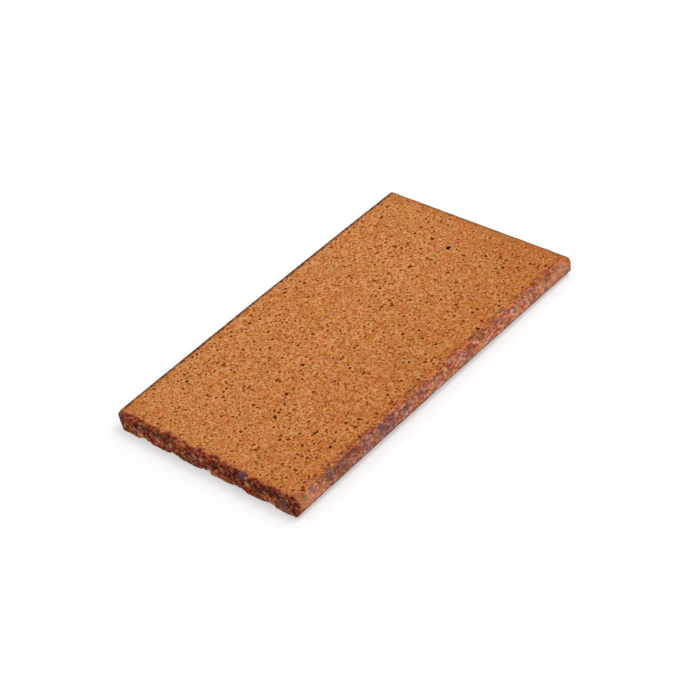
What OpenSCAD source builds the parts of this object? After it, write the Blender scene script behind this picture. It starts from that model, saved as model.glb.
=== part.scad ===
// Exterior floor tile of extruded, fired clay, lying on its bed face.
// The clay leaves the die along X and is cut square, so the tile is one section carried along X.
// The origin is at the middle of the bed face, with +X along the tile and +Z up to the walking face.

/* [Tile] */
// Length of the tile, along the extrusion
tile_l = 245; // [200:1:330]
// Width of the tile, across the extrusion
tile_w = 140; // [115:1:200]
// Thickness of the tile, from its lands to its walking face
tile_t = 13; // [10:0.5:20]

/* [Long edges] */
// Radius of the long edges at the walking face
top_edge_r = 2.5; // [1:0.25:5]
// Radius of the long edges at the bed face
bed_edge_r = 5; // [1:0.25:6]

/* [Bed grooves] */
// Number of grooves in the bed face
groove_count = 5; // [2:1:8]
// Width of a groove at its mouth, where it keys into the mortar
groove_w = 9; // [8:0.25:13]
// Depth of a groove
groove_depth = 1.8; // [1:0.1:2.5]
// Radius that turns a groove's side into its roof
root_r = 4; // [2.5:0.25:4.5]
// Width of the land between each long side and its nearest groove
edge_land_w = 17; // [10:0.5:26]

/* [Hidden] */
$fn = 96;
// Colour of the fired clay
clay_color = [0.75, 0.48, 0.27];
// How far the grooves are cut on below the bed face, to leave it cleanly
cut_margin = 1;
// Width that the root circle takes up at the bed face, on each side of the flat roof
groove_side_w = sqrt(root_r ^ 2 - (root_r - groove_depth) ^ 2);
// Width of the flat roof between the two root circles
roof_w = groove_w - 2 * groove_side_w;
// Distance between the middles of neighbouring grooves, which share the width between the edge lands
groove_pitch = (tile_w - 2 * edge_land_w - groove_w) / (groove_count - 1);

// Section of the plain slab with its four rounded corners, standing on the X axis
module slab_section() {
    top_x = tile_w / 2 - top_edge_r;
    bed_x = tile_w / 2 - bed_edge_r;
    translate([-tile_w / 2, bed_edge_r]) square([tile_w, tile_t - top_edge_r - bed_edge_r]);
    translate([-top_x, bed_edge_r]) square([2 * top_x, tile_t - bed_edge_r]);
    translate([-bed_x, 0]) square([2 * bed_x, tile_t - top_edge_r]);
    for (side = [-1, 1]) {
        translate([side * top_x, tile_t - top_edge_r]) circle(r = top_edge_r);
        translate([side * bed_x, bed_edge_r]) circle(r = bed_edge_r);
    }
}

// Section of one groove: a flat roof that turns down to the bed face in an arc on each side
module groove_section() {
    translate([-roof_w / 2, -cut_margin]) square([roof_w, cut_margin + groove_depth]);
    for (side = [-1, 1])
        translate([side * roof_w / 2, groove_depth - root_r]) circle(r = root_r);
}

// The die's whole section: the slab less its evenly spaced grooves
module tile_section() {
    difference() {
        slab_section();
        for (i = [0 : groove_count - 1])
            translate([(groove_w - tile_w) / 2 + edge_land_w + i * groove_pitch, 0]) groove_section();
    }
}

// The tile: its section carried along X and cut off square at both ends
module floor_tile() {
    color(clay_color)
        translate([-tile_l / 2, 0, 0])
            rotate([90, 0, 90])
                linear_extrude(height = tile_l)
                    tile_section();
}

floor_tile();
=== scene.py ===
import math

import bmesh
import bpy
from mathutils import Euler, Matrix, Vector, kdtree, noise


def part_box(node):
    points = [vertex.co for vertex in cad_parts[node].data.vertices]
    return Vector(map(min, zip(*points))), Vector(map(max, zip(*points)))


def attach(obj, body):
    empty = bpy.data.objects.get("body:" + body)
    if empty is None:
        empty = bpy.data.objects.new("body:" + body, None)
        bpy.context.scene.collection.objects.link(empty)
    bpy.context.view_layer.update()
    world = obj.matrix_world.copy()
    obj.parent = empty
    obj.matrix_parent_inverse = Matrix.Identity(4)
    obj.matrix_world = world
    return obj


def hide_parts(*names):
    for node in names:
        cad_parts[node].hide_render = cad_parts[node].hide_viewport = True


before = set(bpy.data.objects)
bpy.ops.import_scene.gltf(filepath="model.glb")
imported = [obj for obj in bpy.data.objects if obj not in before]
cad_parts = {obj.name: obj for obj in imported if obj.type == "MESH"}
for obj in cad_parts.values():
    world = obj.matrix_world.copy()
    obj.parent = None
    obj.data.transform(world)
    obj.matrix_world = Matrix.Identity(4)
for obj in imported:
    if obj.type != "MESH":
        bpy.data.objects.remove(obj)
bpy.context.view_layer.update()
low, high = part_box("floor_tile")
mm = 0.001
print("frame loaded")

tileShape = dict(
    cell=1.9 * mm,          # cells of the bed face, halved on the other faces and again at the ends
    sliver=0.3,             # corners of the cut section closer than this share of a cell are merged
    weld=0.001 * mm,        # corners closer than this are one
    endReach=4 * mm,        # how far in from each end the finest cells and the tearing go
    tintReach=8 * mm,       # how far in the firing tints the skin
    crumb=2.0 * mm,         # size of the crumbs that show on the torn ends
    crumbDepth=0.35 * mm,   # depth of the seams between crumbs
    tear=7 * mm,            # size of the hollows torn in the ends
    tearDepth=0.9 * mm,     # and their depth
    bite=5 * mm,            # length of the bites along the ends' arrises
    biteDepth=1.7 * mm,     # and their depth
    grit=0.8 * mm,          # size of the grit in the bites
    gritDepth=0.12 * mm,    # and its depth
    farShare=0.35,          # how deep the far end is torn, as a share of the near end's depths
    ripple=16 * mm,         # slow waves in the walking face
    rippleDepth=0.14 * mm,
    dimple=3.2 * mm,        # close dimples in the walking face
    dimpleDepth=0.07 * mm,
    dragLine=1.9 * mm,      # spacing of the die's drag marks down the long sides
    dragLength=28 * mm,     # and how far each one runs
    dragWidth=9 * mm,       # and how far inwards it stays the same
    dragDepth=0.1 * mm,
    knock=2.6 * mm,         # knocks in the long sides
    knockDepth=0.05 * mm,
    bedLump=6 * mm,         # lumps on the bed face
    bedLumpDepth=0.35 * mm,
    lipHeight=0.9 * mm,     # the lips of the bed grooves are softened up to this height
    lipInset=10 * mm,       # and this far in from the long sides
    lipPasses=2,            # smoothing passes over them
    wearReach=1.6,          # how far a corner's top is worn down, in radii of the corner
    bow=0.6 * mm,           # how far the middle stands over the ends, from drying
    bedInset=3 * mm,        # how far in from the long sides the bed face's own clay starts
)

# How each upright corner is worn, by the signs of its X and Y: its radius in plan, and the drop of its top
wornCorners = {
    (-1, 1): (4.2 * mm, 0.9 * mm),
    (1, 1): (1.8 * mm, 0.3 * mm),
    (1, -1): (0.3 * mm, 0.0),
    (-1, -1): (1.0 * mm, 0.3 * mm),
}

# Marks that firing left on the clay, in millimetres: x, y, z and radius
firedMarks = dict(
    iron=[
        (93.6, -0.4, 13, 1.9), (-35, 3, 13, 1.2), (25, 4.5, 13, 0.9), (95, -41, 13, 1.0),
        (-66, -11, 13, 0.9), (-81, 52, 13, 1.1), (-105, 37, 13, 0.8), (-101, 42, 13, 0.7),
        (41, 52, 13, 0.7), (48, 54, 13, 0.7), (-23, 22, 13, 0.8), (80, 42, 13, 0.6),
        (-79, -56.5, 13, 1.2), (-33, -62, 13, 0.9), (27, -50, 13, 0.8), (86, -15, 13, 0.7),
        (-3, 19, 13, 0.7), (-87, -15, 13, 0.7), (113, -27, 13, 0.8), (-74, -42, 13, 0.8),
        (-81, -47, 13, 0.8), (-42, -57.5, 13, 0.8), (9, -59, 13, 0.9), (13, -60, 13, 0.7),
        (42, -64, 13, 1.0), (69, -61, 13, 0.7), (-104, -62.5, 13, 0.7), (-64, -56, 13, 0.6),
        (-55, -67, 12.6, 0.8), (-51, -66.7, 12.8, 0.7), (-47.5, -67, 12.6, 0.6), (-63, -67.5, 12.4, 0.6),
        (91, -66.5, 12.8, 0.8), (45, -67.5, 12.5, 0.7), (-120, -65, 12.6, 1.0), (-119.5, -24, 12.6, 0.7),
        (-118.7, -28, 12.6, 0.7), (-119.5, -31.5, 12.6, 0.7), (-120.5, -57, 12.4, 0.7),
        (-122.5, 40, 9.5, 0.8), (-122.5, -53, 9, 0.9), (-122.5, 54, 9, 0.9), (-122.5, 9.5, 4, 1.0),
        (-122.5, -9, 8, 0.8), (-122.5, 2, 3, 0.9),
    ],
    maroon=[
        (-84, -70, 9, 4.2), (-79, -67, 12.6, 3.2), (-73, -67, 12.4, 2.8), (-102, -69, 11, 2.6),
        (-53, -69, 10, 3.6), (-96, -69, 11, 2.8), (-43, -70, 9, 2.6), (-30, -69, 11, 3.0),
        (-12, -68, 12, 2.4), (8, -68, 12, 3.0), (-65, -69, 10, 3.4), (-56, -67, 12.6, 2.4),
        (24, -69, 11, 2.0), (38, -68, 12, 3.2), (53, -68, 12, 2.6), (84, -67, 12.4, 2.6),
        (91, -67, 12.5, 2.8), (103, -68, 12.2, 3.0), (-20, -66, 12.8, 1.6), (62, -66, 12.8, 1.6),
    ],
    blue=[
        (-65, -10, 13, 1.0), (-79, 54, 13, 1.2), (-94, -69, 11, 2.0), (-51, -69, 11.5, 2.2),
        (-31, -70, 9.5, 1.8), (61, -69, 12, 1.2), (77, -69.5, 10.4, 1.5), (24, -70, 7, 1.8),
        (-122.5, 38, 8, 2.6), (-122.5, 10, 7, 1.6), (-122.5, -59, 7, 2.6), (-122.5, 54, 7, 1.6),
        (-121.5, -28.8, 11.8, 2.4), (-119, -29, 12.7, 1.6),
    ],
    soot=[
        (-122.5, -37.5, 9, 3.4), (-122.5, -43, 7.5, 2.6), (-122, -51.5, 10.8, 3.0), (-122, -57, 10, 2.4),
        (-122.5, -61.5, 8, 2.8), (-121.5, -65, 11.8, 2.4), (-122, -46, 11.5, 2.0), (-122.5, 19.5, 3.5, 2.2),
        (-122.5, -9, 9, 1.5), (-122.5, 11, 8, 2.4), (-122.5, 55, 9, 2.0), (-122.5, 37.5, 9.5, 2.4),
        (-122.5, 31, 9, 2.0), (-120.8, -30, 12.3, 2.2), (-121, -37, 12.2, 1.6), (-122.5, -66, 5, 2.4),
    ],
    ochre=[
        (77, -70, 6.6, 1.5), (118.6, -67.6, 12.8, 2.6), (-98, -65, 13, 1.4), (-85, -66, 13, 1.4),
        (-57, -65.5, 13, 1.3), (-49, -63.5, 13, 1.0), (-31, -65.5, 13, 1.6), (-4, -65.5, 13, 1.2),
        (5, -66, 13, 1.3), (27, -66, 13, 1.2), (67, -66.5, 13, 1.4), (72, -66, 13, 1.0), (84, -64, 13, 1.2),
        (100, -66, 13, 1.2), (112, -66.5, 13, 1.2), (-120.5, -34, 12.6, 1.2), (-120, 12, 12.6, 1.0),
        (-120, 38, 12.6, 1.0), (-120, -46, 12.6, 1.1),
    ],
    peach=[
        (-122.5, 52, 3, 2.2), (-122.5, 2.5, 8.5, 1.8), (-122.5, -3, 3, 2.0), (-122.5, -33, 8, 2.2),
        (-122.5, -49.5, 3, 1.6), (-122.5, 37, 6, 1.6), (-122.5, 7, 9, 1.3), (-122.5, -7, 1.5, 1.6),
        (-122.5, -53, 8, 1.2), (-122.5, -14, 10, 1.1), (-122.5, 27, 8, 1.1), (-111, -70, 9, 1.8),
        (-105, -70, 6, 1.6), (-67, -69.7, 6, 1.4), (36, -70, 8, 1.5), (94, -70, 6, 1.6),
    ],
)


def smoothStep(start, end, value):
    share = min(1.0, max(0.0, (value - start) / (end - start)))
    return share * share * (3 - 2 * share)


def cutSection(body):
    # keeps the end face of the CAD solid and cuts it into cells
    weld, cell = tileShape["weld"], tileShape["cell"]
    bmesh.ops.remove_doubles(body, verts=body.verts, dist=weld)
    skin = [face for face in body.faces if face.normal.x > -0.9]
    bmesh.ops.delete(body, geom=skin, context="FACES")
    bmesh.ops.dissolve_faces(body, faces=body.faces[:])
    for axis in (1, 2):
        steps = round((high[axis] - low[axis]) / cell)
        for step in range(1, steps):
            place, across = Vector(), Vector()
            place[axis] = low[axis] + (high[axis] - low[axis]) * step / steps
            across[axis] = 1
            everything = body.verts[:] + body.edges[:] + body.faces[:]
            bmesh.ops.bisect_plane(body, geom=everything, dist=weld, plane_co=place, plane_no=across)
    bmesh.ops.remove_doubles(body, verts=body.verts, dist=tileShape["sliver"] * cell)
    bmesh.ops.triangulate(body, faces=[face for face in body.faces if len(face.verts) > 4])


def drawOut(body):
    # carries the section along X ring by ring, and closes it with a second end
    length = high.x - low.x
    rings = round(length / tileShape["cell"])
    outline = [edge for edge in body.edges if edge.is_boundary]
    copied = bmesh.ops.duplicate(body, geom=body.verts[:] + body.edges[:] + body.faces[:])["geom"]
    farVerts = [item for item in copied if isinstance(item, bmesh.types.BMVert)]
    farFaces = [item for item in copied if isinstance(item, bmesh.types.BMFace)]
    bmesh.ops.translate(body, verts=farVerts, vec=(length, 0, 0))
    bmesh.ops.reverse_faces(body, faces=farFaces)
    for _ in range(rings):
        grown = bmesh.ops.extrude_edge_only(body, edges=outline)["geom"]
        outline = [item for item in grown if isinstance(item, bmesh.types.BMEdge) and item.is_boundary]
        moved = {vert for edge in outline for vert in edge.verts}
        bmesh.ops.translate(body, verts=list(moved), vec=(length / rings, 0, 0))
    bmesh.ops.remove_doubles(body, verts=body.verts, dist=tileShape["weld"])
    bmesh.ops.recalc_face_normals(body, faces=body.faces)


def refine(body, faces):
    edges = {edge for face in faces for edge in face.edges}
    bmesh.ops.subdivide_edges(body, edges=list(edges), cuts=1, use_grid_fill=True)


def softenLips(body):
    lips = [vert for vert in body.verts if vert.co.z < tileShape["lipHeight"]
            and abs(vert.co.y) < high.y - tileShape["lipInset"] and vert.normal.z < -0.3]
    for _ in range(tileShape["lipPasses"]):
        bmesh.ops.smooth_vert(body, verts=lips, factor=0.4,
                              use_axis_x=False, use_axis_y=True, use_axis_z=True)


def tornDepth(place):
    # how deep the clay is torn at a point of an end: slow hollows, and seams between crumbs
    hollow = 0.5 + 0.5 * noise.fractal(place / tileShape["tear"], 1.0, 2.1, 3)
    near = noise.voronoi(place / tileShape["crumb"])[0]
    seam = 1 - smoothStep(0.0, 0.42, near[1] - near[0])
    grit = 0.5 + 0.5 * noise.noise(place / (0.45 * tileShape["crumb"]))
    depth = tileShape["tearDepth"] * max(0.0, hollow - 0.15)
    depth += tileShape["crumbDepth"] * (0.75 * seam + 0.5 * grit)
    return depth, seam


def biteSize(place):
    # how much of the arris has crumbled away at a point of an end's outline
    broad = noise.fractal(place / tileShape["bite"], 1.0, 2.0, 2)
    fine = noise.noise(place / (0.3 * tileShape["bite"]))
    return tileShape["biteDepth"] * max(0.05, 0.2 + 0.9 * max(0.0, broad) + 0.2 * fine)


def endOutline(body, endX):
    # the skin's points at one end, in a search tree across X, with the skin's normal at each
    outline = [vert for vert in body.verts if abs(vert.co.x - endX) < 0.01 * mm
               and any(abs(face.normal.x) < 0.5 for face in vert.link_faces)]
    tree, normals = kdtree.KDTree(len(outline)), []
    for index, vert in enumerate(outline):
        tree.insert((0, vert.co.y, vert.co.z), index)
        total = Vector()
        for face in vert.link_faces:
            if abs(face.normal.x) < 0.5:
                total += face.normal
        normals.append(total.normalized())
    tree.balance()
    return tree, normals


def tearEnds(body, cutEdge, crevice):
    # tears both ends, and writes how near each point of the skin is to the tear
    reach, tintReach = tileShape["endReach"], tileShape["tintReach"]
    for side in (-1, 1):
        endX = side * high.x
        share = tileShape["farShare"] if side > 0 else 1.0
        tree, skinNormals = endOutline(body, endX)
        moves = []
        for vert in body.verts:
            inward = abs(endX - vert.co.x)
            if inward > tintReach:
                continue
            found, index, under = tree.find((0, vert.co.y, vert.co.z))
            bite = share * biteSize(Vector((endX, found.y, found.z)))
            vert[cutEdge] = max(0.0, 1 - max(0.0, inward - bite) / (share * tintReach))
            if inward > reach:
                continue
            push = max(0.0, bite - inward - under) / 2
            depth, seam = tornDepth(Vector((endX, vert.co.y, vert.co.z)))
            grit = tileShape["gritDepth"] * noise.noise(vert.co / tileShape["grit"]) if push else 0
            fade = 1 - inward / reach
            alongX = -side * (push + share * depth * fade + max(0.0, grit))
            moves.append((vert, Vector((alongX, 0, 0)) - skinNormals[index] * (push + max(0.0, -grit))))
            # crevice marks the seams between crumbs, for the painted shade of the torn clay
            vert[crevice] = seam if inward == 0 else 0.0
        for vert, step in moves:
            vert.co += step


def wearCorners(body):
    for (signX, signY), (radius, drop) in wornCorners.items():
        reach = tileShape["wearReach"] * radius
        for vert in body.verts:
            dx = radius - (high.x - signX * vert.co.x)
            dy = radius - (high.y - signY * vert.co.y)
            fromTip = math.hypot(max(0.0, radius - dx), max(0.0, radius - dy))
            if vert.co.z > high.z / 2 and fromTip < reach:
                vert.co.z -= drop * (1 - fromTip / reach) ** 2 * (2 * vert.co.z / high.z - 1)
            if dx <= 0 or dy <= 0:
                continue
            shrink = max(dx, dy) / math.hypot(dx, dy)  # squares the corner's cells into a quarter round
            vert.co.x -= signX * dx * (1 - shrink)
            vert.co.y -= signY * dy * (1 - shrink)


def shapeSkin(body):
    # small inward moves of the walking face, the long sides and the bed face
    shape = tileShape
    moves = []
    for vert in body.verts:
        place, out = vert.co, vert.normal
        if abs(out.x) > 0.75:
            continue
        depth = 0.0
        if out.z > 0.3:
            ripple = 0.5 + 0.5 * noise.fractal(place / shape["ripple"], 1.0, 2.0, 2)
            dimple = 0.5 + 0.5 * noise.noise(place / shape["dimple"])
            depth += shape["rippleDepth"] * ripple + shape["dimpleDepth"] * dimple
        if abs(out.y) > 0.3:
            drawn = Vector((place.x / shape["dragLength"], place.y / shape["dragWidth"],
                            place.z / shape["dragLine"]))
            line = 0.5 + 0.5 * noise.noise(drawn)
            knock = 0.5 + 0.5 * noise.noise(place / shape["knock"])
            depth += abs(out.y) * (shape["dragDepth"] * line + shape["knockDepth"] * knock)
        if out.z < -0.3:
            lump = 0.5 + 0.5 * noise.fractal(place / shape["bedLump"], 1.0, 2.0, 3)
            depth += shape["bedLumpDepth"] * lump
        moves.append((vert, -out * max(0.0, depth)))
    for vert, step in moves:
        vert.co += step


def writeMarks(body, layers):
    # writes each mark as a cone, 1 at its middle and 0.5 at its rim, for the clay materials to draw
    tree = kdtree.KDTree(len(body.verts))
    body.verts.ensure_lookup_table()
    for vert in body.verts:
        tree.insert(vert.co, vert.index)
    tree.balance()
    for kind, marks in firedMarks.items():
        layer = layers[kind]
        for *centre, radius in marks:
            for _, index, distance in tree.find_range(Vector(centre) * mm, 2 * radius * mm):
                vert = body.verts[index]
                vert[layer] = max(vert[layer], 1 - 0.5 * distance / (radius * mm))


def bowAndClamp(body):
    # the middle of the bed rises, the tops of the ends sink, and nothing leaves the CAD box
    rise = tileShape["bow"]
    for vert in body.verts:
        along = vert.co.x / high.x
        vert.co.z = vert.co.z * (high.z - rise) / high.z + rise * (1 - along * along)
        for axis in range(3):
            vert.co[axis] = min(high[axis], max(low[axis], vert.co[axis]))


def assignSkins(body):
    # 0 walking face, 1 long sides with their rounded lower edges, 2 torn ends, 3 bed face
    for face in body.faces:
        face.smooth = True
        centre = face.calc_center_median()
        if abs(face.normal.x) > 0.6 and abs(centre.x) > high.x - tileShape["weld"]:
            face.material_index = 2
        elif face.normal.z > 0.35:
            face.material_index = 0
        elif face.normal.z < -0.75 and abs(centre.y) < high.y - tileShape["bedInset"]:
            face.material_index = 3
        else:
            face.material_index = 1


def makeTile(materials):
    body = bmesh.new()
    body.from_mesh(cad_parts["floor_tile"].data)
    cutSection(body)
    drawOut(body)
    refine(body, [face for face in body.faces if face.normal.z >= -0.5])
    reach = high.x - tileShape["endReach"]
    refine(body, [face for face in body.faces if abs(face.calc_center_median().x) > reach])
    bmesh.ops.triangulate(body, faces=[face for face in body.faces if len(face.verts) > 4])
    print("tile cells:", len(body.faces))
    layers = {kind: body.verts.layers.float.new(kind + "Mark") for kind in firedMarks}
    cutEdge = body.verts.layers.float.new("cutEdge")
    crevice = body.verts.layers.float.new("crevice")
    assignSkins(body)
    body.normal_update()
    writeMarks(body, layers)
    softenLips(body)
    shapeSkin(body)
    tearEnds(body, cutEdge, crevice)
    wearCorners(body)
    bowAndClamp(body)
    bmesh.ops.recalc_face_normals(body, faces=body.faces)
    mesh = bpy.data.meshes.new("tile_body")
    body.to_mesh(mesh)
    triangles = sum(len(face.verts) - 2 for face in body.faces)
    body.free()
    for material in materials:
        mesh.materials.append(material)
    tile = bpy.data.objects.new("tile_body", mesh)
    bpy.context.scene.collection.objects.link(tile)
    print("tile shaped,", triangles, "triangles")
    return tile


def colour(red, green, blue):
    # a display colour of 0 to 255 a channel, as the linear colour that a socket takes
    levels = [value / 255 for value in (red, green, blue)]
    linear = [level / 12.92 if level <= 0.04045 else ((level + 0.055) / 1.055) ** 2.4 for level in levels]
    return (*linear, 1.0)


def addNode(tree, kind, inputs=None, **settings):
    # inputs take plain values, or output sockets to link from
    made = tree.nodes.new("ShaderNode" + kind)
    for name, value in settings.items():
        setattr(made, name, value)
    for name, value in (inputs or {}).items():
        if isinstance(value, bpy.types.NodeSocket):
            tree.links.new(value, made.inputs[name])
        else:
            made.inputs[name].default_value = value
    return made


def addGroup(name, inputs, outputs):
    # inputs and outputs are lists of (name, kind) or (name, kind, value)
    group = bpy.data.node_groups.new(name, "ShaderNodeTree")
    for direction, sockets in (("INPUT", inputs), ("OUTPUT", outputs)):
        for socketName, kind, *value in sockets:
            socket = group.interface.new_socket(
                name=socketName, in_out=direction, socket_type="NodeSocket" + kind)
            if value:
                socket.default_value = value[0]
    return group, group.nodes.new("NodeGroupInput").outputs, group.nodes.new("NodeGroupOutput").inputs


def placeGroup(tree, group, inputs):
    return addNode(tree, "Group", inputs, node_tree=group).outputs


def placeFlecks(tree, fleckGroup, vector, flecks):
    # flecks holds their spacing, the share of the cells that hold one, and their largest radius
    spacing, share, radius = flecks
    return placeGroup(tree, fleckGroup,
                      {"Vector": vector, "Spacing": spacing, "Share": share, "Radius": radius})


def math2(tree, operation, first, second):
    return addNode(tree, "Math", {0: first, 1: second}, operation=operation).outputs[0]


def times(tree, first, second):
    return math2(tree, "MULTIPLY", first, second)


def mapRange(tree, value, start, end, first=0.0, last=1.0):
    # a smooth step from first to last, as the value goes from start to end
    ends = {"Value": value, "From Min": start, "From Max": end, "To Min": first, "To Max": last}
    return addNode(tree, "MapRange", ends, interpolation_type="SMOOTHSTEP").outputs[0]


def mixColour(tree, factor, first, second, blend="MIX"):
    made = addNode(tree, "Mix", {0: factor, 6: first, 7: second}, data_type="RGBA", blend_type=blend)
    return made.outputs[2]


def mixValue(tree, factor, first, second):
    return addNode(tree, "Mix", {0: factor, 2: first, 3: second}, data_type="FLOAT").outputs[0]


def colourRamp(tree, value, stops):
    ramp = addNode(tree, "ValToRGB", {"Fac": value})
    elements = ramp.color_ramp.elements
    while len(elements) < len(stops):
        elements.new(0.5)
    for element, (position, shade) in zip(elements, stops):
        element.position = position
        element.color = shade
    return ramp.outputs["Color"]


def noiseTexture(tree, vector, scale, detail, roughness=0.5):
    inputs = {"Vector": vector, "Scale": scale, "Detail": detail, "Roughness": roughness}
    return addNode(tree, "TexNoise", inputs).outputs


def splitAxes(tree, vector):
    return addNode(tree, "SeparateXYZ", {"Vector": vector}).outputs


def raggedMask(tree, vector, value, start, end, size, spread):
    # a smooth step of value, its border moved about by noise of the given size
    wander = noiseTexture(tree, vector, 1 / size, 2.5, 0.6)[0]
    moved = addNode(tree, "Math", {0: math2(tree, "SUBTRACT", wander, 0.5), 1: spread, 2: value},
                    operation="MULTIPLY_ADD").outputs[0]
    return mapRange(tree, moved, start, end)


def speckled(tree, mask, speckle, least, most):
    # breaks a mask up between two strengths, by a noise
    return times(tree, mask, mapRange(tree, speckle, 0.35, 0.6, least, most))


def overlaySkin(tree, mask, under, over):
    return {"Color": mixColour(tree, mask, under["Color"], over["Color"]),
            "Roughness": mixValue(tree, mask, under["Roughness"], over["Roughness"]),
            "Height": mixValue(tree, mask, under["Height"], over["Height"])}


def makeGrainGroup():
    # sandy grain of one size, mottles and hues about five times as wide, and clouds wider still
    group, given, wanted = addGroup(
        "clayGrain", [("Vector", "Vector"), ("Size", "Float", 1 * mm)],
        [("Value", "Float"), ("Mottle", "Float"), ("Cloud", "Float"), ("Hue", "Color")])
    vector = given["Vector"]
    scale = math2(group, "DIVIDE", 1.0, given["Size"])
    crumbs = addNode(group, "TexVoronoi", {"Vector": vector, "Scale": scale}, feature="F1")
    tone = addNode(group, "SeparateColor", {"Color": crumbs.outputs["Color"]}).outputs[0]
    grain = mapRange(group, noiseTexture(group, vector, times(group, scale, 0.75), 1.0)[0], 0.3, 0.7)
    group.links.new(mixValue(group, 0.3, grain, tone), wanted["Value"])
    for name, share, detail in (("Mottle", 0.22, 2.0), ("Cloud", 0.07, 3.0)):
        slow = noiseTexture(group, vector, times(group, scale, share), detail, 0.55)[0]
        group.links.new(mapRange(group, slow, 0.3, 0.7), wanted[name])
    hues = noiseTexture(group, vector, times(group, scale, 0.22), 2.0, 0.6)["Color"]
    drift = addNode(group, "SeparateColor", {"Color": hues}).outputs
    drift = addNode(group, "CombineColor", {"Red": drift[0], "Green": 0.5, "Blue": drift[2]})
    group.links.new(drift.outputs[0], wanted["Hue"])
    return group


def makeFleckGroup():
    # separate grains of another clay or ore: Share of the cells hold one, up to Radius wide, with a rim
    group, given, wanted = addGroup(
        "clayFlecks",
        [("Vector", "Vector"), ("Spacing", "Float", 3 * mm), ("Share", "Float", 0.5),
         ("Radius", "Float", 0.5 * mm)],
        [("Mask", "Float"), ("Rim", "Float"), ("Tone", "Float")])
    scale = math2(group, "DIVIDE", 1.0, given["Spacing"])
    wobble = noiseTexture(group, given["Vector"], math2(group, "DIVIDE", 0.9, given["Radius"]), 1.0)["Color"]
    centred = addNode(group, "VectorMath", {0: wobble, 1: (0.5, 0.5, 0.5)}, operation="SUBTRACT")
    shift = addNode(group, "VectorMath",
                    {0: centred.outputs[0], "Scale": times(group, given["Radius"], 1.8)}, operation="SCALE")
    bent = addNode(group, "VectorMath", {0: given["Vector"], 1: shift.outputs[0]}, operation="ADD")
    cells = addNode(group, "TexVoronoi", {"Vector": bent.outputs[0], "Scale": scale, "Randomness": 1.0},
                    feature="F1")
    draw = addNode(group, "SeparateColor", {"Color": cells.outputs["Color"]}).outputs
    reach = times(group, times(group, given["Radius"], scale), mapRange(group, draw[0], 0.0, 1.0, 0.5, 1.0))
    ratio = math2(group, "DIVIDE", cells.outputs["Distance"], reach)  # 0 at a fleck's middle, 1 at its rim
    held = math2(group, "LESS_THAN", draw[1], given["Share"])
    rise = times(group, mapRange(group, ratio, 0.9, 1.2), mapRange(group, ratio, 1.8, 1.25))
    group.links.new(times(group, mapRange(group, ratio, 1.15, 0.6), held), wanted["Mask"])
    group.links.new(times(group, rise, held), wanted["Rim"])
    group.links.new(draw[2], wanted["Tone"])
    return group


skinOutputs = [("Color", "Color"), ("Roughness", "Float"), ("Height", "Float")]

# In the clays below, flecks are given as (spacing, share of the cells that hold one, radius)
walkingClay = dict(
    grain=1.03 * mm,
    shades=[(0.0, colour(143, 73, 14)), (0.28, colour(178, 103, 37)), (0.55, colour(207, 136, 76)),
            (1.0, colour(238, 174, 122))],
    warm=colour(210, 112, 50),          # the clouds drift between this hue and the next
    yellow=colour(186, 128, 52),
    cloudShare=0.25,
    dull=colour(168, 91, 38),           # darker mottles
    dullShare=0.45,
    patches=(6.5 * mm, 0.8, 3 * mm),
    patchShare=0.25,
    tints=[(0.0, colour(216, 118, 94)), (0.35, colour(220, 118, 46)), (0.7, colour(176, 130, 52)),
           (1.0, colour(178, 130, 98))],
    hueShare=0.25,
    rim=colour(246, 182, 128),          # pale rims round the pits and ores
    rimShare=0.35,
    pits=(1.9 * mm, 0.45, 1.04 * mm),
    pitShare=0.95,
    pitShades=[(0.0, colour(169, 95, 18)), (1.0, colour(134, 62, 0))],
    ores=(3.3 * mm, 0.52, 1.28 * mm),
    oreShades=[(0.0, colour(152, 75, 2)), (1.0, colour(116, 43, 0))],
    irons=(7 * mm, 0.25, 1.35 * mm),
    ironShades=[(0.0, colour(108, 33, 0)), (1.0, colour(58, 12, 0))],
    deeper=colour(242, 232, 222),       # darker towards one long side and one far corner
    deeperShare=0.75,
    cornerShare=0.5,
)


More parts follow.
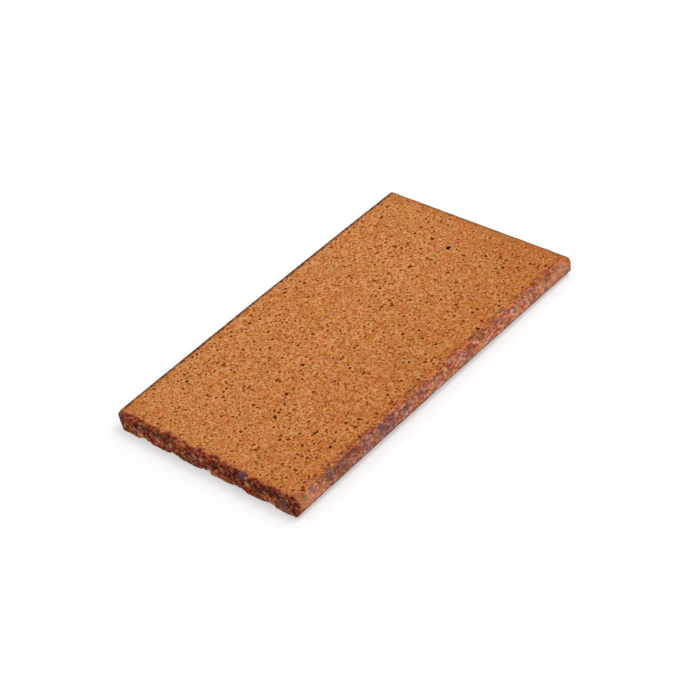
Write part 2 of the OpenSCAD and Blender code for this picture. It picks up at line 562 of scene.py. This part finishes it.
def makeWalkingSkin(grainGroup, fleckGroup):
    clay = walkingClay
    group, given, wanted = addGroup("walkingSkin", [("Vector", "Vector")], skinOutputs)
    vector = given["Vector"]
    axes = splitAxes(group, vector)
    grain = placeGroup(group, grainGroup, {"Vector": vector, "Size": clay["grain"]})
    hue = mixColour(group, grain["Cloud"], clay["warm"], clay["yellow"])
    base = mixColour(group, clay["cloudShare"], colourRamp(group, grain["Value"], clay["shades"]), hue)
    base = mixColour(group, mapRange(group, grain["Mottle"], 0.35, 1.0, 0.0, clay["dullShare"]), base,
                     clay["dull"])
    patches = placeFlecks(group, fleckGroup, vector, clay["patches"])
    tint = colourRamp(group, patches["Tone"], clay["tints"])
    base = mixColour(group, times(group, patches["Mask"], clay["patchShare"]), base, tint)
    base = mixColour(group, clay["hueShare"], base, grain["Hue"], "OVERLAY")
    pits = placeFlecks(group, fleckGroup, vector, clay["pits"])
    ores = placeFlecks(group, fleckGroup, vector, clay["ores"])
    irons = placeFlecks(group, fleckGroup, vector, clay["irons"])
    rimMask = times(group, math2(group, "MAXIMUM", pits["Rim"], ores["Rim"]), clay["rimShare"])
    shade = mixColour(group, rimMask, base, clay["rim"])
    for grains, share, shades in ((pits, clay["pitShare"], clay["pitShades"]),
                                  (ores, 1.0, clay["oreShades"]), (irons, 1.0, clay["ironShades"])):
        grainShade = colourRamp(group, grains["Tone"], shades)
        shade = mixColour(group, times(group, grains["Mask"], share), shade, grainShade)
    corner = times(group, mapRange(group, axes["X"], 78 * mm, 108 * mm, 0.0, clay["cornerShare"]),
                   mapRange(group, axes["Y"], 22 * mm, -25 * mm))
    side = mapRange(group, axes["Y"], 15 * mm, low.y, 0.0, clay["deeperShare"])
    shade = mixColour(group, math2(group, "ADD", side, corner), shade, clay["deeper"], "MULTIPLY")
    sunk = math2(group, "ADD", pits["Mask"], math2(group, "MAXIMUM", ores["Mask"], irons["Mask"]))
    group.links.new(shade, wanted["Color"])
    group.links.new(mapRange(group, grain["Value"], 0.0, 1.0, 0.88, 0.72), wanted["Roughness"])
    group.links.new(math2(group, "SUBTRACT", grain["Value"], sunk), wanted["Height"])
    return group


dieClay = dict(
    grain=1.1 * mm,
    drawn=0.7,                          # the grain is drawn out along X
    shades=[(0.0, colour(108, 53, 38)), (0.32, colour(185, 110, 84)), (0.6, colour(222, 139, 106)),
            (1.0, colour(255, 190, 146))],
    cloud=colour(116, 72, 68),
    cloudShare=0.42,
    pale=colour(234, 158, 113),         # pale mottles, and paler clay at both ends of the long sides
    paleShare=0.42,
    paleEnds=[(-102 * mm, -118 * mm, 0.55), (82 * mm, 113 * mm, 0.52)],  # from X, to X, share
    patches=(5.4 * mm, 0.9, 2.8 * mm),
    tints=[(0.0, colour(196, 52, 36)), (0.25, colour(236, 122, 50)), (0.5, colour(218, 110, 94)),
           (0.75, colour(134, 118, 78)), (1.0, colour(104, 100, 122))],
    bits=(3.4 * mm, 0.65, 1.2 * mm),
    bitShare=0.75,
    bitShades=[(0.0, colour(192, 62, 46)), (0.35, colour(228, 112, 44)), (0.65, colour(216, 122, 112)),
               (1.0, colour(138, 118, 92))],
    specks=(2.6 * mm, 0.5, 0.6 * mm),
    speckShare=0.6,
    speck=colour(84, 36, 24),
    dusk=colour(229, 235, 250),         # one stretch of the length is fired darker
    duskBorders=[(-102 * mm, -96 * mm, 6 * mm, 12 * mm), (-25 * mm, -33 * mm, 6 * mm, 12 * mm)],
    footShade=colour(96, 74, 76),            # painted shade: darker towards the bed, where the rounded lower edge turns under towards the floor
    footShadeShare=0.55,
)


def makeDieSkin(grainGroup, fleckGroup):
    clay = dieClay
    group, given, wanted = addGroup("dieSkin", [("Vector", "Vector")], skinOutputs)
    vector = given["Vector"]
    axes = splitAxes(group, vector)
    drawn = addNode(group, "Mapping", {"Vector": vector, "Scale": (clay["drawn"], 1, 1)}).outputs[0]
    grain = placeGroup(group, grainGroup, {"Vector": drawn, "Size": clay["grain"]})
    base = colourRamp(group, grain["Value"], clay["shades"])
    base = mixColour(group, mapRange(group, grain["Cloud"], 0.45, 0.95, 0.0, clay["cloudShare"]), base,
                     clay["cloud"])
    base = mixColour(group, mapRange(group, grain["Mottle"], 0.5, 0.1, 0.0, clay["paleShare"]), base,
                     clay["pale"])
    for start, end, share in clay["paleEnds"]:
        base = mixColour(group, mapRange(group, axes["X"], start, end, 0.0, share), base, clay["pale"])
    patches = placeFlecks(group, fleckGroup, vector, clay["patches"])
    bits = placeFlecks(group, fleckGroup, vector, clay["bits"])
    specks = placeFlecks(group, fleckGroup, vector, clay["specks"])
    broken = mapRange(group, grain["Value"], 0.25, 0.6, 0.28, 0.78)  # a patch shows on the larger grains
    shade = mixColour(group, times(group, patches["Mask"], broken), base,
                      colourRamp(group, patches["Tone"], clay["tints"]))
    shade = mixColour(group, 1.0, shade, grain["Hue"], "OVERLAY")
    shade = mixColour(group, times(group, bits["Mask"], clay["bitShare"]), shade,
                      colourRamp(group, bits["Tone"], clay["bitShades"]))
    speckMask = times(group, specks["Mask"], clay["speckShare"])
    shade = mixColour(group, speckMask, shade, clay["speck"])
    nearer, further = [raggedMask(group, vector, axes["X"], *border) for border in clay["duskBorders"]]
    shade = mixColour(group, times(group, nearer, further), shade, clay["dusk"], "MULTIPLY")
    # painted shade: the long sides darken towards the bed, as if shaded by the floor
    footShade = mapRange(group, axes["Z"], 5.6 * mm, 2.8 * mm, 0.0, clay["footShadeShare"])
    group.links.new(mixColour(group, footShade, shade, clay["footShade"]), wanted["Color"])
    group.links.new(mapRange(group, grain["Value"], 0.0, 1.0, 0.86, 0.7), wanted["Roughness"])
    group.links.new(math2(group, "SUBTRACT", grain["Value"], speckMask), wanted["Height"])
    return group


tornClay = dict(
    grain=1.7 * mm,
    shades=[(0.0, colour(72, 15, 4)), (0.3, colour(166, 70, 45)), (0.62, colour(225, 118, 80)),
            (1.0, colour(255, 180, 132))],
    seam=colour(54, 10, 4),             # painted shade in the seams between crumbs, and dark clouds
    seamShadeShare=0.75,
    cloudShare=0.5,
    upper=colour(84, 24, 18),           # darker towards the walking face
    upperShare=0.38,
    lower=colour(220, 130, 98),         # paler towards the bed
    lowerShare=0.36,
    patches=(4.6 * mm, 0.85, 2.2 * mm),
    tints=[(0.0, colour(196, 24, 18)), (0.3, colour(232, 122, 60)), (0.55, colour(176, 92, 100)),
           (0.8, colour(134, 108, 56)), (1.0, colour(80, 70, 104))],
    hueShare=0.95,
    soots=(6 * mm, 0.35, 1.6 * mm),
    soot=colour(52, 40, 58),
    sootShare=0.7,
    bits=(3.6 * mm, 0.6, 1.2 * mm),
    bitShades=[(0.0, colour(206, 40, 34)), (0.4, colour(214, 90, 52)), (0.7, colour(180, 92, 92)),
               (1.0, colour(112, 84, 72))],
    bitShare=0.55,
    ochres=(4.2 * mm, 0.3, 1.1 * mm),
    ochre=colour(255, 188, 134),
    ochreShare=0.8,
)


def makeTornClay(grainGroup, fleckGroup):
    clay = tornClay
    group, given, wanted = addGroup("tornClay", [("Vector", "Vector"), ("Crevice", "Float")], skinOutputs)
    vector = given["Vector"]
    grain = placeGroup(group, grainGroup, {"Vector": vector, "Size": clay["grain"]})
    base = colourRamp(group, grain["Value"], clay["shades"])
    base = mixColour(group, mapRange(group, grain["Cloud"], 0.5, 1.0, 0.0, clay["cloudShare"]), base,
                     clay["seam"])
    height = addNode(group, "Math", {0: math2(group, "SUBTRACT", grain["Mottle"], 0.5), 1: 6 * mm,
                                     2: splitAxes(group, vector)["Z"]}, operation="MULTIPLY_ADD").outputs[0]
    base = mixColour(group, mapRange(group, height, 5 * mm, 11.5 * mm, 0.0, clay["upperShare"]), base,
                     clay["upper"])
    base = mixColour(group, mapRange(group, height, 6 * mm, 2 * mm, 0.0, clay["lowerShare"]), base,
                     clay["lower"])
    patches = placeFlecks(group, fleckGroup, vector, clay["patches"])
    soots = placeFlecks(group, fleckGroup, vector, clay["soots"])
    bits = placeFlecks(group, fleckGroup, vector, clay["bits"])
    ochres = placeFlecks(group, fleckGroup, vector, clay["ochres"])
    broken = mapRange(group, grain["Value"], 0.25, 0.6, 0.36, 0.82)  # a patch shows on the larger grains
    shade = mixColour(group, times(group, patches["Mask"], broken), base,
                      colourRamp(group, patches["Tone"], clay["tints"]))
    shade = mixColour(group, clay["hueShare"], shade, grain["Hue"], "OVERLAY")
    shade = mixColour(group, times(group, soots["Mask"], clay["sootShare"]), shade, clay["soot"])
    shade = mixColour(group, times(group, bits["Mask"], clay["bitShare"]), shade,
                      colourRamp(group, bits["Tone"], clay["bitShades"]))
    shade = mixColour(group, times(group, ochres["Mask"], clay["ochreShare"]), shade, clay["ochre"])
    # painted shade: the seams between crumbs, where the torn end is deepest, are darkened
    shade = mixColour(group, times(group, given["Crevice"], clay["seamShadeShare"]), shade, clay["seam"])
    group.links.new(shade, wanted["Color"])
    group.links.new(mapRange(group, grain["Value"], 0.0, 1.0, 0.95, 0.8), wanted["Roughness"])
    group.links.new(grain["Value"], wanted["Height"])
    return group


bedClay = dict(
    grain=1.1 * mm,
    shades=[(0.10, colour(128, 78, 58)), (0.45, colour(164, 106, 80)), (0.90, colour(196, 138, 106))],
    streak=colour(132, 92, 80),         # streaks that the die drew along X
    streakSize=1.6 * mm,
    streakShare=0.7,
    dust=colour(204, 156, 126),         # dust that sits up in the grooves
    dustShare=0.45,
    specks=(2.6 * mm, 0.5, 0.6 * mm),
    speckShare=0.5,
)


def makeBedSkin(grainGroup, fleckGroup):
    clay = bedClay
    group, given, wanted = addGroup("bedSkin", [("Vector", "Vector")], skinOutputs)
    vector = given["Vector"]
    grain = placeGroup(group, grainGroup, {"Vector": vector, "Size": clay["grain"]})
    base = colourRamp(group, grain["Value"], clay["shades"])
    drawn = addNode(group, "Mapping", {"Vector": vector, "Scale": (0.04, 1, 1)}).outputs[0]
    streaks = noiseTexture(group, drawn, 1 / clay["streakSize"], 3.0)[0]
    base = mixColour(group, mapRange(group, streaks, 0.45, 0.75, 0.0, clay["streakShare"]), base,
                     clay["streak"])
    height = splitAxes(group, vector)["Z"]
    dusty = times(group, mapRange(group, height, 0.8 * mm, 1.9 * mm, 0.0, clay["dustShare"]), grain["Cloud"])
    shade = mixColour(group, dusty, base, clay["dust"])
    specks = placeFlecks(group, fleckGroup, vector, clay["specks"])
    speckMask = times(group, specks["Mask"], clay["speckShare"])
    rough = math2(group, "ADD", grain["Value"], streaks)
    group.links.new(mixColour(group, speckMask, shade, dieClay["speck"]), wanted["Color"])
    group.links.new(mapRange(group, grain["Value"], 0.0, 1.0, 0.92, 0.8), wanted["Roughness"])
    group.links.new(math2(group, "SUBTRACT", rough, speckMask), wanted["Height"])
    return group


# How each kind of mark is drawn, the last one on top: its colour and strength, how far its rim wanders and
# how soft the rim is, its roughness, how far it sinks the grain, and whether it is broken up
markStyles = dict(
    maroon=(colour(88, 44, 40), 0.42, 1.3, 0.2, 0.8, 0.1, True),
    soot=(colour(52, 24, 30), 0.7, 1.6, 0.2, 0.9, 0.1, True),
    blue=(colour(84, 83, 101), 0.6, 1.3, 0.2, 0.6, 0.1, True),
    ochre=(colour(232, 118, 50), 0.4, 1.3, 0.2, 0.85, 0.0, False),
    peach=(colour(244, 170, 122), 0.6, 1.3, 0.2, 0.85, 0.0, False),
    iron=(colour(44, 5, 0), 1.0, 0.45, 0.08, 0.75, 0.9, False),
)


def makeMarksGroup():
    # draws the fired marks over a skin, from their cones, with ragged rims
    kinds = [(kind.capitalize(), "Float") for kind in markStyles]
    group, given, wanted = addGroup("firedMarks", [("Vector", "Vector")] + skinOutputs + kinds, skinOutputs)
    ragged = noiseTexture(group, given["Vector"], 1 / (1.1 * mm), 2.0)[0]
    rim = math2(group, "SUBTRACT", ragged, 0.5)
    breaks = mapRange(group, ragged, 0.35, 0.6, 0.55, 1.0)
    shade, roughness, height = given["Color"], given["Roughness"], given["Height"]
    for kind, (paint, strength, wander, edge, rough, sink, broken) in markStyles.items():
        cone = given[kind.capitalize()]
        inside = math2(group, "GREATER_THAN", cone, 0.01)
        field = math2(group, "ADD", cone, times(group, rim, times(group, inside, wander)))
        mask = times(group, mapRange(group, field, 0.55 - edge, 0.55 + edge), strength)
        if broken:
            mask = times(group, mask, breaks)
        shade = mixColour(group, mask, shade, paint)
        roughness = mixValue(group, mask, roughness, rough)
        height = math2(group, "SUBTRACT", height, times(group, mask, sink))
    group.links.new(shade, wanted["Color"])
    group.links.new(roughness, wanted["Roughness"])
    group.links.new(height, wanted["Height"])
    return group


# How the skins change along the tile's edges. A fade goes from its first number to its second; a border does
# so too, and is moved about by noise of the size and spread that follow.
edgeClay = dict(
    blush=colour(204, 106, 64),         # warmer clay above the long arris
    blushShare=0.25,
    blushGrain=0.75,                    # how far the grain shows through it
    blushBorder=(low.y + 7.4 * mm, low.y + 5.2 * mm, 4 * mm, 7 * mm),
    brown=colour(118, 58, 40),          # brown line through it, on the arris and along the torn ends
    brownFades=[(low.y + 7.6 * mm, low.y + 5.4 * mm), (low.y + 3.4 * mm, low.y + 4.6 * mm)],
    arrisFades=[(low.y + 3.2 * mm, low.y + 2.0 * mm), (low.y - 0.3 * mm, low.y + 1.0 * mm)],
    fringes=(4.2 * mm, 0.9, 2.4 * mm),  # tinted flecks in the blush
    fringeTints=[(0.0, colour(110, 50, 40)), (0.25, colour(134, 66, 46)), (0.45, colour(234, 114, 66)),
                 (0.7, colour(222, 138, 114)), (1.0, colour(154, 82, 50))],
    farFade=(high.x - 8 * mm, high.x - 4.5 * mm),  # the walking face is duller at the far end
    farShare=0.25,
    nearBorder=(low.y + 3.2 * mm, low.y + 1.8 * mm, 5 * mm, 6 * mm),     # the die skin comes up over
    backBorder=(high.y - 1.8 * mm, high.y - 0.8 * mm, 4 * mm, 2 * mm),   # both long arrises
    backRimShade=colour(82, 42, 28),         # the darker back arris, seen on the walking face and on the side: partly painted shade where it turns from the light, partly darker clay
    rimBorder=(high.y - 4.4 * mm, high.y - 2.5 * mm, 4 * mm, 2.5 * mm),
    sideRimBorder=(7.5 * mm, 10.8 * mm, 4 * mm, 4 * mm),
    sideRimShare=0.85,
    scorchBorder=(0.3, 0.62, 4 * mm, 1.1),    # of the nearness to the tear, 0 to 1
    tornBorder=(0.6, 0.78, 4 * mm, 0.95),
    burntShare=0.52,                    # the torn arris fires darker than the end
    farArris=colour(146, 106, 70),      # and paler at the far end's upper arris
    farArrisShare=0.65,
)


def fadeBetween(tree, value, fades):
    # a line between two fades, one from either side
    first, second = [mapRange(tree, value, *fade) for fade in fades]
    return times(tree, first, second)


def blushWalkingFace(tree, vector, axes, skin, speckle, fleckGroup):
    # the walking face's colour, blushed and fringed above its long arris, and duller at the far end
    edge = edgeClay
    blush = raggedMask(tree, vector, axes["Y"], *edge["blushBorder"])
    shade = mixColour(tree, times(tree, blush, edge["blushShare"]), skin["Color"], edge["blush"])
    fringes = placeFlecks(tree, fleckGroup, vector, edge["fringes"])
    patchy = speckled(tree, fringes["Mask"], speckle, 0.4, 0.85)
    shade = mixColour(tree, times(tree, blush, patchy), shade,
                      colourRamp(tree, fringes["Tone"], edge["fringeTints"]))
    brown = fadeBetween(tree, axes["Y"], edge["brownFades"])
    shade = mixColour(tree, speckled(tree, brown, speckle, 0.05, 0.4), shade, edge["brown"])
    grained = mapRange(tree, skin["Height"], -0.8, 1.0, 0.16, 0.59)
    shade = mixColour(tree, times(tree, blush, edge["blushGrain"]), shade, grained, "OVERLAY")
    farEnd = mapRange(tree, axes["X"], *edge["farFade"], 0.0, edge["farShare"])
    return mixColour(tree, farEnd, shade, walkingClay["dull"])


def borderWalkingFace(tree, vector, axes, skin, groups):
    # the blush, then the die skin over both long arrises, and a brown line on the near one
    edge, y = edgeClay, axes["Y"]
    speckle = noiseTexture(tree, vector, 1 / (2.2 * mm), 2.0)[0]
    skin = {**skin, "Color": blushWalkingFace(tree, vector, axes, skin, speckle, groups["flecks"])}
    near = raggedMask(tree, vector, y, *edge["nearBorder"])
    back = raggedMask(tree, vector, y, *edge["backBorder"])
    die = placeGroup(tree, groups["die"], {"Vector": vector})
    skin = overlaySkin(tree, math2(tree, "MAXIMUM", near, back), skin, die)
    arris = speckled(tree, fadeBetween(tree, y, edge["arrisFades"]), speckle, 0.1, 0.7)
    return {**skin, "Color": mixColour(tree, arris, skin["Color"], edge["brown"])}


def shadeBackArris(tree, vector, skin, rim):
    # the back arris is darker over both skins that meet there: partly painted shade where it turns from the
    # light, partly darker clay
    patchy = noiseTexture(tree, vector, 1 / (2.6 * mm), 2.0)[0]
    rim = speckled(tree, rim, patchy, 0.5, 0.95)
    return {**skin, "Color": mixColour(tree, rim, skin["Color"], edgeClay["backRimShade"])}


def scorchEnds(tree, vector, axes, skin, torn):
    # a skin is scorched towards the ends, and torn clay shows along their bitten arrises
    edge = edgeClay
    cut = addNode(tree, "Attribute", attribute_name="cutEdge").outputs["Fac"]
    far = times(tree, mapRange(tree, axes["X"], 0.0, high.x, 0.0, edge["farArrisShare"]),
                mapRange(tree, axes["Z"], 7 * mm, 12 * mm))
    speckle = noiseTexture(tree, vector, 1 / (1.6 * mm), 2.0)[0]
    scorch = times(tree, raggedMask(tree, vector, cut, *edge["scorchBorder"]),
                   mapRange(tree, speckle, 0.35, 0.65, 0.25, 0.7))
    shade = mixColour(tree, mapRange(tree, speckle, 0.42, 0.64), edge["brown"], edge["blush"])
    shade = mixColour(tree, far, shade, edge["farArris"])
    skin = {**skin, "Color": mixColour(tree, scorch, skin["Color"], shade)}
    burnt = mixColour(tree, edge["burntShare"], torn["Color"], tornClay["seam"])
    burnt = mixColour(tree, far, burnt, edge["farArris"])
    torn = {"Color": burnt, "Roughness": torn["Roughness"], "Height": torn["Height"]}
    return overlaySkin(tree, raggedMask(tree, vector, cut, *edge["tornBorder"]), skin, torn)


def clayMaterial(name, kind, groups, bump=0.12 * mm):
    # kind is walking, die, torn or bed
    material = bpy.data.materials.new(name)
    material.use_nodes = True
    tree = material.node_tree
    tree.nodes.clear()
    vector = addNode(tree, "TexCoord").outputs["Object"]
    axes = splitAxes(tree, vector)
    crevice = addNode(tree, "Attribute", attribute_name="crevice").outputs["Fac"]
    torn = placeGroup(tree, groups["torn"], {"Vector": vector, "Crevice": crevice})
    made = torn if kind == "torn" else placeGroup(tree, groups[kind], {"Vector": vector})
    skin = {key: made[key] for key in ("Color", "Roughness", "Height")}
    if kind == "walking":
        skin = borderWalkingFace(tree, vector, axes, skin, groups)
        # partly painted shade: the back arris darkened on the walking face
        rim = raggedMask(tree, vector, axes["Y"], *edgeClay["rimBorder"])
        skin = shadeBackArris(tree, vector, skin, rim)
    if kind == "die":
        # partly painted shade: the back arris darkened on the upper part of the back long side
        rim = raggedMask(tree, vector, axes["Z"], *edgeClay["sideRimBorder"])
        rim = times(tree, rim, mapRange(tree, axes["Y"], 0.0, high.y, 0.0, edgeClay["sideRimShare"]))
        skin = shadeBackArris(tree, vector, skin, rim)
    if kind != "torn":
        skin = scorchEnds(tree, vector, axes, skin, torn)
    cones = {mark.capitalize(): addNode(tree, "Attribute", attribute_name=mark + "Mark").outputs["Fac"]
             for mark in markStyles}
    marked = placeGroup(tree, groups["marks"], {"Vector": vector, **skin, **cones})
    relief = addNode(tree, "Bump", {"Height": marked["Height"], "Distance": bump, "Strength": 1.0})
    clay = addNode(tree, "BsdfPrincipled", {
        "Base Color": marked["Color"], "Roughness": marked["Roughness"], "Normal": relief.outputs[0],
        "Specular IOR Level": 0.03})
    addNode(tree, "OutputMaterial", {"Surface": clay.outputs[0]})
    return material


grainGroup, fleckGroup = makeGrainGroup(), makeFleckGroup()
clayGroups = dict(
    flecks=fleckGroup,
    walking=makeWalkingSkin(grainGroup, fleckGroup),
    die=makeDieSkin(grainGroup, fleckGroup),
    torn=makeTornClay(grainGroup, fleckGroup),
    bed=makeBedSkin(grainGroup, fleckGroup),
    marks=makeMarksGroup(),
)
clayMaterials = [
    clayMaterial("walkingFaceClay", "walking", clayGroups),
    clayMaterial("longSideClay", "die", clayGroups),
    clayMaterial("tornEndClay", "torn", clayGroups, bump=0.25 * mm),
    clayMaterial("bedFaceClay", "bed", clayGroups),
]
print("clay materials made")

tile = makeTile(clayMaterials)
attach(tile, "root")
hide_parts("floor_tile")

studio = dict(
    floorSize=4.0,
    floorTone=0.62,
    floorGlow=0.42,  # what the floor adds of its own where it is seen
    worldLight=0.68,
    keyPlace=(0.45, -0.35, 1.5),
    keySize=0.9,
    keyPower=9.5,
)


def seenRays(tree):
    # 1 for rays that the camera sees, straight or by way of something glossy or clear
    rays = addNode(tree, "LightPath").outputs
    indirect = math2(tree, "MAXIMUM", rays["Is Glossy Ray"], rays["Is Transmission Ray"])
    return math2(tree, "MAXIMUM", rays["Is Camera Ray"], indirect)


def makeFloor():
    grid = bmesh.new()
    bmesh.ops.create_grid(grid, x_segments=4, y_segments=4, size=studio["floorSize"] / 2)
    mesh = bpy.data.meshes.new("studio_floor")
    grid.to_mesh(mesh)
    grid.free()
    floor = bpy.data.objects.new("studio_floor", mesh)
    bpy.context.scene.collection.objects.link(floor)
    material = bpy.data.materials.new("paleFloor")
    material.use_nodes = True
    tree = material.node_tree
    tree.nodes.clear()
    tone = studio["floorTone"]
    matte = addNode(tree, "BsdfDiffuse", {"Color": (tone, tone, tone, 1)})
    glow = addNode(tree, "Emission", {"Strength": times(tree, seenRays(tree), studio["floorGlow"])})
    both = addNode(tree, "AddShader", {0: matte.outputs[0], 1: glow.outputs[0]})
    addNode(tree, "OutputMaterial", {"Surface": both.outputs[0]})
    mesh.materials.append(material)


def makeWorld():
    world = bpy.data.worlds.new("studioWorld")
    bpy.context.scene.world = world
    world.use_nodes = True
    tree = world.node_tree
    tree.nodes.clear()
    strength = mixValue(tree, seenRays(tree), studio["worldLight"], 1.0)  # plain white where it is seen
    sky = addNode(tree, "Background", {"Color": (1, 1, 1, 1), "Strength": strength})
    addNode(tree, "OutputWorld", {"Surface": sky.outputs[0]})


def makeKeyLight():
    data = bpy.data.lights.new("softKey", "AREA")
    data.shape, data.size, data.energy = "DISK", studio["keySize"], studio["keyPower"]
    lamp = bpy.data.objects.new("softKey", data)
    lamp.location = studio["keyPlace"]
    lamp.rotation_euler = Vector(studio["keyPlace"]).to_track_quat("Z", "Y").to_euler()
    bpy.context.scene.collection.objects.link(lamp)


cameraView = dict(azimuth=-42.35, elevation=38.75, roll=-10.86, distance=1.1627, lens=102.8,
                  aim=(0.15 * mm, 0.3 * mm, -0.4 * mm))


def makeCamera():
    view = cameraView
    turn = Euler((math.radians(90 - view["elevation"]), 0, math.radians(view["azimuth"]))).to_matrix()
    data = bpy.data.cameras.new("camera")
    data.lens, data.sensor_width, data.clip_start = view["lens"], 36, 0.01
    camera = bpy.data.objects.new("camera", data)
    camera.location = Vector(view["aim"]) + turn @ Vector((0, 0, view["distance"]))
    camera.rotation_euler = (turn @ Matrix.Rotation(math.radians(view["roll"]), 3, "Z")).to_euler()
    bpy.context.scene.collection.objects.link(camera)
    bpy.context.scene.camera = camera


makeFloor()
makeWorld()
makeKeyLight()
makeCamera()
bpy.context.scene.view_settings.view_transform = "Standard"
print("studio made")
